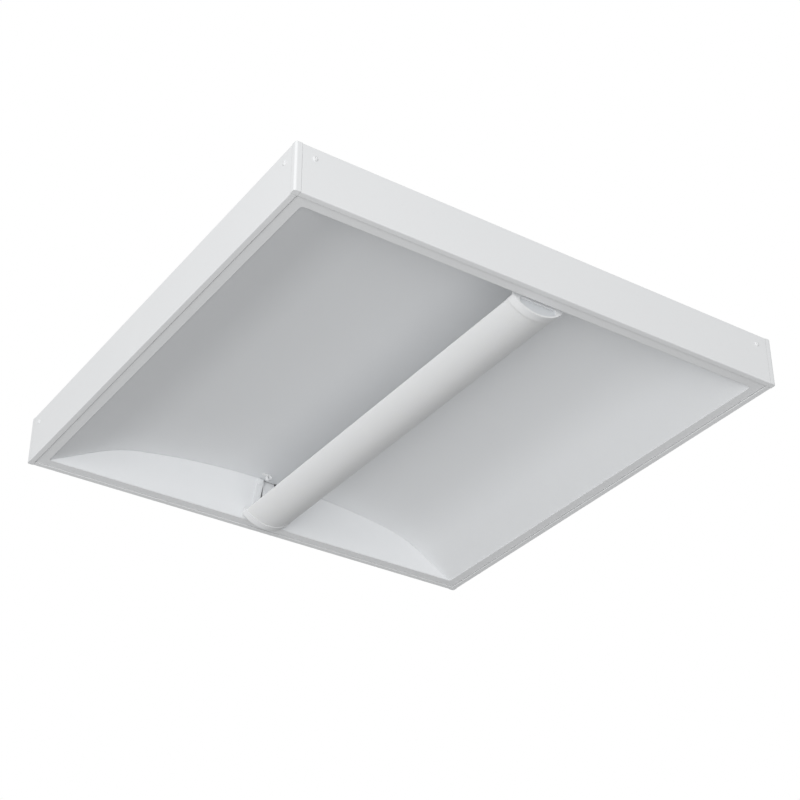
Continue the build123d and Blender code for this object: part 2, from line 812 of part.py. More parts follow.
    # End cap: a shallow recess in its lower face, a skirt round the lens and a blind hole for the hinge pin
    with BuildPart() as end_cap:
        skirt_radius = lens_radius + cap_fit + cap_skirt_wall
        cap_half = lens_half_width + cap_fit + cap_skirt_wall
        cap_corner_z = lens_centre_z - sqrt(skirt_radius ** 2 - cap_half ** 2)
        cap_top_z = lens_top + cap_rise

        with BuildSketch(Plane.XZ.offset(-side * cap_out)) as cap_outline:
            with BuildLine():
                ThreePointArc((-cap_half, cap_corner_z), (0, lens_centre_z - skirt_radius),
                              (cap_half, cap_corner_z))
                Polyline((cap_half, cap_corner_z), (cap_top_half, cap_top_z), (-cap_top_half, cap_top_z),
                         (-cap_half, cap_corner_z))
            make_face()
            fillet(cap_outline.vertices().group_by(Axis.Y)[-1], cap_top_radius)
        extrude(amount=side * cap_face)
        with BuildSketch(Plane.XZ.offset(-side * cap_out)) as recess:
            add(cap_outline.sketch_local)
            offset(amount=-cap_rim, mode=Mode.REPLACE)
            recess_low = lens_centre_z - skirt_radius
            recess_high = lens_top - cap_recess_drop
            with Locations((0, (recess_low + recess_high) / 2)):
                Rectangle(2 * cap_recess_half, recess_high - recess_low, mode=Mode.INTERSECT)
            fillet(recess.vertices(), cap_recess_corner)
        extrude(amount=side * cap_recess, mode=Mode.SUBTRACT)

        inner_y = side * (cap_out - cap_face)
        with BuildSketch(Plane.XZ.offset(-inner_y)) as skirt:
            for radius, width, mode in (
                (skirt_radius, cap_half, Mode.ADD),
                (lens_radius + cap_fit, lens_half_width + cap_fit, Mode.SUBTRACT),
            ):
                corner_z = lens_centre_z - sqrt(radius ** 2 - width ** 2)
                with BuildLine() as band:
                    ThreePointArc((-width, corner_z), (0, lens_centre_z - radius), (width, corner_z))
                    Polyline((width, corner_z), (width, lens_top), (-width, lens_top), (-width, corner_z))
                make_face(band.edges(), mode=mode)
        extrude(amount=side * (cap_skirt - cap_face))
        rod((hinge_x, side * arm_in, hinge_z), (hinge_x, side * (cap_out - hinge_skin), hinge_z),
            hinge_pin_radius + hinge_fit, mode=Mode.SUBTRACT)
    end_cap.part.label = f"end_cap_{end_name}"
    export_step(end_cap.part, f"parts/end_cap_{end_name}.step")

    # LED board, one to each half of the tray
    with BuildPart() as led_board:
        board_start = board_middle_gap
        board_end = arm_in - board_end_gap
        block((-board_half_width, board_half_width), (side * board_start, side * board_end), (board_z, tray_z))
        for i in range(board_screws_per_board):
            y = board_start + (board_end - board_start) * (i + 0.5) / board_screws_per_board
            screw_hole((-board_screw_side, side * y, board_z - past_face),
                       (-board_screw_side, side * y, tray_z + past_face), small_screw)
    led_board.part.label = f"led_board_{end_name}"
    export_step(led_board.part, f"parts/led_board_{end_name}.step")

with BuildPart() as bracket_screws:
    for _, side in SIDES:
        for hand in (-1, 1):
            screw((hand * bracket_screw_x, side * bracket_screw_y, pan_under - sheet_fit - bracket_sheet),
                  (0, 0, -1), medium_head, medium_head_height, medium_screw, bracket_sheet + pan_sheet)
bracket_screws.part.label = "bracket_screws"
export_step(bracket_screws.part, "parts/bracket_screws.step")

with BuildPart() as hanger_screws:
    for _, side in SIDES:
        screw((0, side * ledge_screw_y, arm_top_z), (0, 0, 1), small_head, small_head_height, small_screw,
              arm_sheet + sheet_fit + bracket_sheet)
hanger_screws.part.label = "hanger_screws"
export_step(hanger_screws.part, "parts/hanger_screws.step")

with BuildPart() as tray_screws:
    for _, side in SIDES:
        for hand in (-1, 1):
            screw((hand * arm_foot_half / 2, side * (arm_in - arm_foot_length / 2), tray_floor_top + arm_sheet),
                  (0, 0, 1), small_head, small_head_height, small_screw, arm_sheet + tray_sheet)
tray_screws.part.label = "tray_screws"
export_step(tray_screws.part, "parts/tray_screws.step")

with BuildPart() as hinge_pins:
    for _, side in SIDES:
        pin_end = cap_out - hinge_skin - hinge_pin_end_gap
        rod((hinge_x, side * arm_in, hinge_z), (hinge_x, side * pin_end, hinge_z), hinge_pin_radius)
hinge_pins.part.label = "hinge_pins"
export_step(hinge_pins.part, "parts/hinge_pins.step")

with BuildPart() as latch_rivets:
    for _, side in SIDES:
        head_seat = latch_standoff + latch_sheet + sheet_fit
        with BuildSketch(latch_plane(side, -end_sheet)) as rivet_shank:
            Circle(latch_rivet_radius)
        extrude(rivet_shank.sketch, amount=end_sheet + head_seat)
        with BuildSketch(latch_plane(side, head_seat)) as rivet_head:
            Circle(latch_rivet_head)
        extrude(rivet_head.sketch, amount=latch_rivet_head_height, taper=screw_dome)
        with BuildSketch(latch_plane(side, -end_sheet)) as rivet_tail:
            Circle(latch_rivet_head)
        extrude(rivet_tail.sketch, amount=-latch_rivet_head_height)
latch_rivets.part.label = "latch_rivets"
export_step(latch_rivets.part, "parts/latch_rivets.step")

# Loop for the leads, fixed under the reflector in front of the far slot
with BuildPart() as lead_clip:
    clip_y = end_face(arch_z) - clip_along_gap
    clip_top = arch_z - sheet_fit
    clip_centre = (-clip_side, clip_top - clip_radius)
    with BuildSketch(Plane.XZ.offset(-clip_y - clip_width / 2)):
        with Locations(clip_centre):
            Circle(clip_radius)
        with Locations((-clip_side - clip_foot / 2, clip_top - clip_wall / 2)):
            Rectangle(clip_foot, clip_wall)
        with Locations(clip_centre):
            Circle(clip_radius - clip_wall, mode=Mode.SUBTRACT)
    extrude(amount=clip_width)
lead_clip.part.label = "lead_clip"
export_step(lead_clip.part, "parts/lead_clip.step")

# LED tray: an upturned channel that also spreads the heat
with BuildPart() as led_tray:
    tray_end = arm_in - sheet_fit
    tray_inner = tray_half - tray_sheet
    block((-tray_half, tray_half), (-tray_end, tray_end), (tray_z, tray_z + tray_wall_height))
    block((-tray_inner, tray_inner), (-tray_end, tray_end), (tray_floor_top, tray_z + tray_wall_height),
          mode=Mode.SUBTRACT)
    for _, side in SIDES:
        for hand in (-1, 1):
            foot_x = hand * arm_foot_half / 2
            foot_y = side * (arm_in - arm_foot_length / 2)
            screw_hole((foot_x, foot_y, tray_z - past_face), (foot_x, foot_y, tray_floor_top + past_face),
                       small_screw)
        for i in range(board_screws_per_board):
            y = side * (board_start + (board_end - board_start) * (i + 0.5) / board_screws_per_board)
            screw_hole((-board_screw_side, y, tray_z - past_face),
                       (-board_screw_side, y, tray_floor_top + past_face), small_screw)
led_tray.part.label = "led_tray"
export_step(led_tray.part, "parts/led_tray.step")

with BuildPart() as led_chips:
    for _, side in SIDES:
        for i in range(chips_per_board):
            y = side * (board_start + (board_end - board_start) * (i + 0.5) / chips_per_board)
            block((-chip_width / 2, chip_width / 2), (y - chip_length / 2, y + chip_length / 2),
                  (board_z - chip_height, board_z))
led_chips.part.label = "led_chips"
export_step(led_chips.part, "parts/led_chips.step")

with BuildPart() as board_screws:
    for _, side in SIDES:
        for i in range(board_screws_per_board):
            y = side * (board_start + (board_end - board_start) * (i + 0.5) / board_screws_per_board)
            screw((-board_screw_side, y, board_z), (0, 0, -1), small_head, small_head_height, small_screw,
                  board_thickness + tray_sheet)
board_screws.part.label = "board_screws"
export_step(board_screws.part, "parts/board_screws.step")

with BuildPart() as board_connectors:
    for _, side in SIDES:
        y0 = side * (board_start + connector_in)
        block((connector_side, connector_side + connector_width), (y0, y0 + side * connector_length),
              (board_z - connector_height, board_z))
board_connectors.part.label = "board_connectors"
export_step(board_connectors.part, "parts/board_connectors.step")

# Lens: a shallow arc whose edges turn in under the tray
with BuildPart() as lens:
    lens_end = cap_out - cap_face - cap_fit
    inner_radius = lens_radius - lens_wall
    lip_under = lens_top - lens_lip_wall
    lip_in = lens_half_width - lens_lip_reach
    inner_x = sqrt(inner_radius ** 2 - (lens_centre_z - lip_under) ** 2)
    with BuildSketch(Plane.XZ):
        with BuildLine():
            ThreePointArc((-lens_half_width, lens_corner_z), (0, lens_low), (lens_half_width, lens_corner_z))
            Polyline((lens_half_width, lens_corner_z), (lens_half_width, lens_top), (lip_in, lens_top),
                     (lip_in, lip_under), (inner_x, lip_under))
            ThreePointArc((inner_x, lip_under), (0, lens_low + lens_wall), (-inner_x, lip_under))
            Polyline((-inner_x, lip_under), (-lip_in, lip_under), (-lip_in, lens_top),
                     (-lens_half_width, lens_top), (-lens_half_width, lens_corner_z))
        make_face()
    extrude(amount=lens_end, both=True)
lens.part.label = "lens"
export_step(lens.part, "parts/lens.step")
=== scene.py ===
# %% [markdown]
# # A square ceiling light with an arched reflector
#
# This is a lesson in dressing a finished construction model. The light hangs under a ceiling: a
# shallow white steel frame, open downwards, with one arched sheet from side to side and a long
# frosted lens along the middle. The frame arrives at its real size, in metres, and nothing here
# moves it. What is left to do is what a camera sees: paint, plastic, screws, smooth curved sheets
# and the light that falls on them.

# %% Tools and the fixed frame
from math import atan2, cos, pi, radians, sin

import bmesh
import bpy
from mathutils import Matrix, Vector


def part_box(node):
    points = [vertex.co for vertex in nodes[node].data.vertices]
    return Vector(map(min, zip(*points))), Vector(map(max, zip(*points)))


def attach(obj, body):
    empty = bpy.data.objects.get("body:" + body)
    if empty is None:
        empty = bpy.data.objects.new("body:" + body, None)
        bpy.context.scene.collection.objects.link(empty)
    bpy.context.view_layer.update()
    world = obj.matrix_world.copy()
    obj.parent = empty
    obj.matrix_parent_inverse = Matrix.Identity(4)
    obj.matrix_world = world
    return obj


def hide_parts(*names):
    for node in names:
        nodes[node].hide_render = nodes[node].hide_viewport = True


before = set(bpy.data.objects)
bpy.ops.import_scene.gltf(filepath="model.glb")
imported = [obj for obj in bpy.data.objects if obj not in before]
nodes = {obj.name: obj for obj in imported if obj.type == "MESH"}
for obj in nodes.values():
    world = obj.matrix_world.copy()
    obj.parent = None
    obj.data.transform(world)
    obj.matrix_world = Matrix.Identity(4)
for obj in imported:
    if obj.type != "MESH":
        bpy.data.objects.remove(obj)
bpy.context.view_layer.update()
mm = 0.001

# %% [markdown]
# ## Camera
#
# A ceiling light is looked at from below. The camera stands low, off the near left corner, and
# looks up. Its heading and tilt come from the directions in which the frame's straight edges run
# together, so the picture's vanishing points fall where they should. A long lens keeps the far
# corner large.

# %% Camera below the near left corner
camera_place = Vector((-0.9549, -1.4575, -1.1178))
camera_heading = -33.68
camera_tilt = 32.09
camera_lens = 79.875

camera_data = bpy.data.cameras.new("corner_camera")
camera_data.sensor_width = 36.0
camera_data.lens = camera_lens
camera = bpy.data.objects.new("corner_camera", camera_data)
camera.location = camera_place
camera.rotation_euler = (radians(90 + camera_tilt), 0, radians(camera_heading))
bpy.context.scene.collection.objects.link(camera)
bpy.context.scene.camera = camera
bpy.context.scene.view_settings.view_transform = "Standard"
bpy.context.scene.view_settings.look = "None"
print("camera stands", round(camera_place.length, 3), "m from the light")

# %% [markdown]
# ## A bench for node trees
#
# A finish is easier to read as sums than as a web of boxes. `Value` wraps one socket, so that
# `1 - mask * 0.3` adds its own Math nodes. `Bench` holds a tree and adds any other node from its
# type, its settings and what goes into its sockets. The same bench builds materials, the sky and
# the geometry trees further down.


# %% One socket as a value, one tree as a bench
class Value:
    """A socket on a bench. Arithmetic on it adds Math nodes."""

    def __init__(self, bench, socket):
        self.bench = bench
        self.socket = socket

    def maths(self, operation, first, second):
        return self.bench.node("ShaderNodeMath", {"operation": operation}, {0: first, 1: second})

    def __add__(self, other):
        return self.maths("ADD", self, other)

    __radd__ = __add__

    def __sub__(self, other):
        return self.maths("SUBTRACT", self, other)

    def __rsub__(self, other):
        return self.maths("SUBTRACT", other, self)

    def __mul__(self, other):
        return self.maths("MULTIPLY", self, other)

    __rmul__ = __mul__

    def __truediv__(self, other):
        return self.maths("DIVIDE", self, other)

    def __gt__(self, other):
        return self.maths("GREATER_THAN", self, other)

    def __lt__(self, other):
        return self.maths("LESS_THAN", self, other)

    def __abs__(self):
        return self.maths("ABSOLUTE", self, 0.0)


class Bench:
    """A node tree being built. One method adds any node and returns one of its outputs."""

    def __init__(self, tree):
        self.tree = tree

    def node(self, kind, settings, sockets, output=0):
        made = self.tree.nodes.new(kind)
        for name, setting in settings.items():
            if name == "stops":
                for stop, (place, colour) in zip(made.color_ramp.elements, setting):
                    stop.position = place
                    stop.color = (*colour, 1.0)
            else:
                setattr(made, name, setting)
        for name, value in sockets.items():
            self.feed(made.inputs[name], value)
        return Value(self, made.outputs[output]) if made.outputs else None

    def feed(self, socket, value):
        if isinstance(value, Value):
            self.tree.links.new(value.socket, socket)
        else:
            socket.default_value = value


# %% [markdown]
# ## Studio
#
# White paint shows its shape only through slow changes of tone, so the light is a sky that
# brightens steadily towards the camera's left and front. Such a slope of light gives every
# direction of surface its own grey, with soft shading in the hollows and no hard shadow. Seen
# directly, the sky is plain white. One very large soft lamp stands on the camera's left and adds
# the sheen along rims and rounded edges. A pale floor lies a room's height below the ceiling.

# %% Sky that brightens towards the left and the front
sky_level = 0.46
sky_slope = (-0.28, -0.14, 0.04)
sky_least = 0.03
room_height = 2.6
floor_half = 1.7

sky = bpy.data.worlds.new("studio_sky")
bpy.context.scene.world = sky
sky.use_nodes = True
sky.node_tree.nodes.clear()
air = Bench(sky.node_tree)
towards = air.node("ShaderNodeTexCoord", {}, {}, "Generated")
lean = air.node("ShaderNodeVectorMath", {"operation": "DOT_PRODUCT"}, {0: towards, 1: sky_slope}, "Value")
strength = (lean + sky_level).maths("MAXIMUM", lean + sky_level, sky_least)
lit = air.node("ShaderNodeBackground", {}, {"Color": (0.985, 0.993, 1.0, 1.0), "Strength": strength})
seen = air.node("ShaderNodeBackground", {}, {"Color": (1.0, 1.0, 1.0, 1.0), "Strength": 1.0})
direct = air.node("ShaderNodeLightPath", {}, {}, "Is Camera Ray")
both = air.node("ShaderNodeMixShader", {}, {0: direct, 1: lit, 2: seen})
air.node("ShaderNodeOutputWorld", {}, {"Surface": both})
sky_swing = Vector(sky_slope).length
print("sky from", round(sky_level - sky_swing, 2), "to", round(sky_level + sky_swing, 2))

# %% Pale floor, far below
floor_mesh = bpy.data.meshes.new("studio_floor")
floor_signs = ((-1, -1), (1, -1), (1, 1), (-1, 1))
floor_corners = [(x * floor_half, y * floor_half, -room_height) for x, y in floor_signs]
floor_mesh.from_pydata(floor_corners, [], [(0, 1, 2, 3)])
floor = bpy.data.objects.new("studio_floor", floor_mesh)
bpy.context.scene.collection.objects.link(floor)
floor_paint = bpy.data.materials.new("studio_floor")
floor_paint.use_nodes = True
floor_paint.node_tree.nodes["Principled BSDF"].inputs["Base Color"].default_value = (0.80, 0.80, 0.80, 1.0)
floor_paint.node_tree.nodes["Principled BSDF"].inputs["Roughness"].default_value = 0.8
floor_mesh.materials.append(floor_paint)

# %% One large soft lamp
lamp_from = Vector((-0.62, -0.70, -0.36)).normalized()
lamp_away = 4.5
lamp_data = bpy.data.lights.new("soft_lamp", "AREA")
lamp_data.shape = "SQUARE"
lamp_data.size = 3.0
lamp_data.energy = 90.0
lamp = bpy.data.objects.new("soft_lamp", lamp_data)
lamp.location = lamp_from * lamp_away
lamp.rotation_euler = lamp_from.to_track_quat("Z", "Y").to_euler()
lamp.visible_camera = False
bpy.context.scene.collection.objects.link(lamp)
print("lamp", lamp_data.energy, "W at", [round(part, 2) for part in lamp.location])

# %% [markdown]
# ## What a finish is made of
#
# Every surface here is close to white, so what tells paint from plastic from zinc is how rough it
# is, how its skin undulates and how its white drifts. All patterns are read from the object's own
# coordinates in metres. They stay put when the camera moves, and a grain keeps its real size.


# %% Patterns that the finishes share
class Finish(Bench):
    """A material on the bench, with its shader and the patterns that several finishes use."""

    def __init__(self, name):
        self.material = bpy.data.materials.new(name)
        self.material.use_nodes = True
        super().__init__(self.material.node_tree)
        self.shader = self.material.node_tree.nodes["Principled BSDF"]
        self.here = self.node("ShaderNodeTexCoord", {}, {}, "Object")

    def grain(self, size, detail=2.0, stretch=(1, 1, 1)):
        """Noise between 0 and 1 whose patches measure about this many metres."""
        scale = [1 / (size * part) for part in stretch]
        spread = self.node("ShaderNodeVectorMath", {"operation": "MULTIPLY"}, {0: self.here, 1: scale})
        return self.node("ShaderNodeTexNoise", {}, {"Vector": spread, "Scale": 1.0, "Detail": detail}, "Fac")

    def axis(self, letter):
        """How far along one axis the point lies, in metres."""
        return self.node("ShaderNodeSeparateXYZ", {}, {0: self.here}, "XYZ".index(letter))

    def between(self, value, low, high):
        """0 below low, 1 above high, and a smooth step from one to the other."""
        return self.node(
            "ShaderNodeMapRange",
            {"interpolation_type": "SMOOTHSTEP"},
            {"Value": value, "From Min": low, "From Max": high},
        )

    def mix(self, factor, first, second):
        """One colour fading into another."""
        colours = [colour if isinstance(colour, Value) else (*colour, 1.0) for colour in (first, second)]
        return self.node(
            "ShaderNodeMix", {"data_type": "RGBA"}, {0: factor, 6: colours[0], 7: colours[1]}, 2
        )

    def edges(self, radius):
        """The surface's direction with its edges rounded, and a mask that is 1 along them."""
        round_edge = self.node("ShaderNodeBevel", {"samples": 4}, {"Radius": radius})
        flat = self.node("ShaderNodeNewGeometry", {}, {}, "Normal")
        same = self.node("ShaderNodeVectorMath", {"operation": "DOT_PRODUCT"}, {0: round_edge, 1: flat}, "Value")
        return round_edge, self.between(1 - same, 0.01, 0.12)

    def surface(self, colour, roughness, height, depth, normal=None, **fixed):
        """Joins a finish to its shader: height is a pattern from 0 to 1, depth its relief in metres."""
        bump = {"Height": height, "Strength": 1.0, "Distance": depth}
        if normal is not None:
            bump["Normal"] = normal
        self.feed(self.shader.inputs["Base Color"], colour)
        self.feed(self.shader.inputs["Roughness"], roughness)
        self.feed(self.shader.inputs["Normal"], self.node("ShaderNodeBump", {}, bump))
        for name, value in fixed.items():
            self.feed(self.shader.inputs[name.replace("_", " ")], value)
        self.material.diffuse_color = (0.8, 0.8, 0.8, 1.0)
        return self.material


# %% [markdown]
# ## Paints
#
# The frame has a satin powder coat. Powder melts into a skin that is never quite flat: it shows a
# fine orange peel and it drifts a little in tone. Its sharp edges are a little smoother and are
# painted lighter, a painted highlight. The reflector's coat is flatter and whiter, because it has
# to throw light back without a glare.


# %% Powder coats
def powder_coat(name, light, dark, roughness, peel_size, peel_depth):
    """White powder paint: a drifting white, an orange peel, and edges painted lighter as a highlight."""
    paint = Finish(name)
    drift = paint.grain(0.16, 3.0)
    peel = paint.grain(peel_size, 2.0)
    dust = paint.between(paint.grain(0.0035, 3.0), 0.62, 0.80)
    scuffs = paint.between(paint.grain(0.05, 5.0, (1, 1, 4)), 0.60, 0.74)
    rounded, edge = paint.edges(0.0007)
    # A lighter white mixed in along the edges: a painted highlight.
    edge_highlight = tuple(min(1.0, part * 1.035) for part in light)
    colour = paint.mix(drift, dark, light)
    colour = paint.mix(edge * 0.55, colour, edge_highlight)
    colour = paint.mix(dust * 0.06, colour, (0.52, 0.52, 0.51))
    rough = roughness + scuffs * 0.09 + peel * 0.05 - edge * 0.05
    return paint.surface(colour, rough, peel, peel_depth, rounded, Coat_Weight=0.06, Coat_Roughness=0.25)


frame_enamel = powder_coat(
    "frame_enamel", (0.915, 0.921, 0.926), (0.892, 0.899, 0.906), 0.40, 0.0022, 0.000035
)
reflector_enamel = powder_coat(
    "reflector_enamel", (0.902, 0.914, 0.926), (0.882, 0.895, 0.908), 0.62, 0.0012, 0.000018
)
driver_enamel = powder_coat(
    "driver_enamel", (0.800, 0.812, 0.822), (0.765, 0.776, 0.786), 0.42, 0.0020, 0.00004
)

# %% [markdown]
# The housing's back is rolled from zinc-coated sheet and painted thinly, so the crystals of the
# zinc, a thumb's width across, still show through as faint flat patches.


# %% Housing paint over zinc
def thin_paint_over_zinc():
    """Thin white paint that lets the zinc's crystals show."""
    paint = Finish("housing_enamel")
    crystals = paint.node("ShaderNodeTexVoronoi", {}, {"Vector": paint.here, "Scale": 1 / 0.012}, "Color")
    tone = paint.node("ShaderNodeSeparateXYZ", {}, {0: crystals}, 0)
    rolled = paint.grain(0.004, 3.0, (1, 30, 1))
    rounded, edge = paint.edges(0.0007)
    colour = paint.mix(tone, (0.770, 0.784, 0.796), (0.815, 0.828, 0.838))
    # Along the edges the paint is mixed towards a lighter white: a painted highlight.
    colour = paint.mix(edge * 0.5, colour, (0.88, 0.89, 0.90))
    return paint.surface(colour, 0.40 + tone * 0.10 + rolled * 0.06, tone * 0.3 + rolled, 0.00003, rounded)


housing_enamel = thin_paint_over_zinc()

# %% [markdown]
# ## Plastics
#
# The lens is frosted acrylic: light enters it, scatters and comes out again a little further on,
# so its shading is softer than that of paint. The caps are moulded in a plain white plastic with
# a spark-eroded grain, coarser in the shallow recess than on the rim round it. The recess floor is
# painted greyer, a painted shade, and the rim's edges are painted lighter, a painted highlight.
# Nylon makes the terminal block and the bushing.


# %% Lens, caps and nylon
def frosted_acrylic():
    """The lens: white, soft under its skin, with a fine frost and faint lines from the die."""
    lens_skin = Finish("frosted_acrylic")
    frost = lens_skin.grain(0.0009, 2.0)
    die_lines = lens_skin.grain(0.0016, 3.0, (1, 400, 1))
    drift = lens_skin.grain(0.09, 3.0)
    rounded, _ = lens_skin.edges(0.0006)
    colour = lens_skin.mix(drift * 0.6 + die_lines * 0.4, (0.900, 0.909, 0.919), (0.930, 0.937, 0.945))
    return lens_skin.surface(
        colour,
        0.40 + frost * 0.08 + die_lines * 0.05,
        frost * 0.6 + die_lines * 0.4,
        0.00002,
        rounded,
        Subsurface_Weight=0.35,
        Subsurface_Radius=(0.9, 0.9, 1.0),
        Subsurface_Scale=0.004,
        IOR=1.49,
    )


def moulded_plastic(name, light, dark, roughness, spark_size, spark_depth, sink=0.02):
    """Injection-moulded plastic with a spark-eroded grain and slow changes of tone."""
    plastic = Finish(name)
    spark = plastic.grain(spark_size, 3.0)
    flow = plastic.grain(sink, 3.0)
    rounded, edge = plastic.edges(0.0004)
    colour = plastic.mix(flow, dark, light)
    # Along the edges the colour is mixed towards a lighter one: a painted highlight.
    colour = plastic.mix(edge * 0.35, colour, tuple(min(1.0, part * 1.05) for part in light))
    return plastic.surface(
        colour, roughness + spark * 0.08 - edge * 0.04, spark, spark_depth, rounded, IOR=1.46
    )


def recessed_caps():
    """The caps: a polished, well rounded rim with a painted highlight, and a coarser floor in the shallow recess with
    painted shade that makes it greyer.
    """
    plastic = Finish("cap_plastic")
    cap_low, cap_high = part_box("end_cap_far")
    spark = plastic.grain(0.0006, 3.0)
    flow = plastic.grain(0.02, 3.0)
    rounded, edge = plastic.edges(0.0009)
    x, z = abs(plastic.axis("X")), plastic.axis("Z")
    behind_face = cap_high.y - abs(plastic.axis("Y"))
    radius = cap_radius - cap_rim_width + 0.1 * mm
    above_centre = z - (cap_low.z + cap_radius)
    inside_rim = (x * x + above_centre * above_centre) < radius * radius
    above, below = cap_recess_depth - 0.4 * mm, cap_recess_depth + 0.4 * mm
    floor_level = (behind_face > above) * (behind_face < below)
    recess = inside_rim * floor_level * (x < cap_recess_half)
    colour = plastic.mix(flow, (0.905, 0.912, 0.918), (0.935, 0.941, 0.946))
    # The recess floor is painted greyer: painted shade in the recess, not the plastic's own colour.
    colour = plastic.mix(recess * (0.75 + spark * 0.25), colour, (0.72, 0.74, 0.76))
    # The rim's edges are mixed towards a lighter white: a painted highlight.
    colour = plastic.mix(edge * 0.5, colour, (0.97, 0.975, 0.98))
    rough = 0.36 + spark * 0.08 + recess * 0.2 - edge * 0.04
    return plastic.surface(colour, rough, spark, 0.000012, rounded, IOR=1.46)


cap_radius = 43.8 * mm
cap_rim_width = 2.0 * mm
cap_recess_depth = 1.6 * mm
cap_recess_half = 23.6 * mm
lens_acrylic = frosted_acrylic()
cap_plastic = recessed_caps()
terminal_nylon = moulded_plastic(
    "terminal_nylon", (0.83, 0.82, 0.77), (0.78, 0.77, 0.72), 0.34, 0.0008, 0.00001
)
bushing_nylon = moulded_plastic(
    "bushing_nylon", (0.040, 0.040, 0.043), (0.026, 0.026, 0.028), 0.44, 0.0007, 0.00001
)

# %% [markdown]
# ## Metals
#
# Brackets, springs and screws are zinc plated: a thin passivated skin with a cold cast that drifts
# towards straw where it is thicker. The tray is drawn aluminium, with fine lines along its length.


# %% Zinc plate and drawn aluminium
def zinc_plate(name, roughness, drift_size):
    """Bright zinc with a passivated skin."""
    zinc = Finish(name)
    drift = zinc.grain(drift_size, 3.0)
    rolled = zinc.grain(0.0012, 2.0, (1, 18, 1))
    stain = zinc.between(zinc.grain(drift_size * 0.4, 5.0), 0.56, 0.74)
    rounded, edge = zinc.edges(0.0003)
    colour = zinc.mix(drift, (0.60, 0.62, 0.65), (0.70, 0.70, 0.68))
    colour = zinc.mix(stain * 0.35, colour, (0.50, 0.49, 0.46))
    # Along the edges the colour is mixed towards a lighter grey: a painted highlight.
    colour = zinc.mix(edge * 0.6, colour, (0.78, 0.79, 0.80))
    rough = roughness + rolled * 0.12 + stain * 0.10 - edge * 0.08
    return zinc.surface(colour, rough, rolled, 0.000015, rounded, Metallic=1.0)


def drawn_aluminium():
    """Mill-finished aluminium, drawn along the tray."""
    metal = Finish("drawn_aluminium")
    lines = metal.grain(0.0007, 3.0, (1, 260, 1))
    bloom = metal.grain(0.05, 4.0)
    rounded, edge = metal.edges(0.0004)
    colour = metal.mix(lines * 0.7 + bloom * 0.3, (0.70, 0.71, 0.72), (0.82, 0.83, 0.84))
    # Along the edges the colour is mixed towards a lighter grey: a painted highlight.
    colour = metal.mix(edge * 0.5, colour, (0.90, 0.90, 0.91))
    return metal.surface(colour, 0.30 + lines * 0.14 + bloom * 0.06, lines, 0.000012, rounded, Metallic=1.0)


bracket_zinc = zinc_plate("bracket_zinc", 0.34, 0.02)
screw_zinc = zinc_plate("screw_zinc", 0.26, 0.004)
tray_aluminium = drawn_aluminium()

# %% [markdown]
# ## Boards and their parts
#
# The two LED boards are white with copper runs that lift the solder mask by a hair, so each run
# shows as a slightly brighter band. The driver's board is green, and what stands on it has dark
# sleeves.


# %% LED board, driver board, chips
def board_mask():
    """White solder mask over two copper runs, with a bare glass-fibre edge."""
    mask = Finish("board_mask")
    side = abs(mask.axis("X"))
    weave = mask.grain(0.0006, 2.0)
    run = mask.between(side, 0.0026, 0.0029) * (1 - mask.between(side, 0.0052, 0.0055))
    rim = mask.between(side, 0.0096, 0.0098)
    colour = mask.mix(run, (0.79, 0.80, 0.80), (0.85, 0.85, 0.83))
    colour = mask.mix(rim * 0.7, colour, (0.72, 0.68, 0.50))
    return mask.surface(colour, 0.34 + weave * 0.06 - run * 0.05, run * 0.8 + weave * 0.2, 0.00004, IOR=1.5)


def driver_resin():
    """Green mask with darker bare strips where the copper stops."""
    resin = Finish("driver_resin")
    cells = resin.node("ShaderNodeTexVoronoi", {"feature": "DISTANCE_TO_EDGE"}, {"Vector": resin.here, "Scale": 120.0})
    gap = 1 - resin.between(cells, 0.02, 0.06)
    weave = resin.grain(0.0008, 2.0)
    colour = resin.mix(gap, (0.060, 0.205, 0.085), (0.035, 0.110, 0.055))
    return resin.surface(colour, 0.32 + weave * 0.08, 1 - gap, 0.00004)


def component_sleeves():
    """Dark sleeves and varnished wire on the driver's board."""
    sleeve = Finish("component_sleeves")
    wire = sleeve.grain(0.0009, 2.0, (1, 1, 12))
    patch = sleeve.grain(0.012, 3.0)
    colour = sleeve.mix(patch, (0.022, 0.024, 0.030), (0.075, 0.055, 0.045))
    return sleeve.surface(colour, 0.30 + wire * 0.15, wire, 0.00004)


def chip_phosphor():
    """Yellow phosphor set in clear resin."""
    phosphor = Finish("chip_phosphor")
    speck = phosphor.grain(0.0003, 3.0)
    colour = phosphor.mix(speck, (0.86, 0.66, 0.12), (0.93, 0.79, 0.28))
    return phosphor.surface(colour, 0.16 + speck * 0.10, speck, 0.00001, Coat_Weight=0.8, Coat_Roughness=0.08)


led_board_mask = board_mask()
driver_board_resin = driver_resin()
sleeve_finish = component_sleeves()
phosphor_finish = chip_phosphor()
chip_package = moulded_plastic(
    "chip_package", (0.88, 0.88, 0.86), (0.84, 0.84, 0.82), 0.30, 0.0003, 0.000004, 0.003
)

# %% [markdown]
# ## Dressing the frame's own pieces
#
# Pieces whose shape is already right only change their finish. The list below says which finish
# each family of names takes, and every piece of the frame has to be in it.

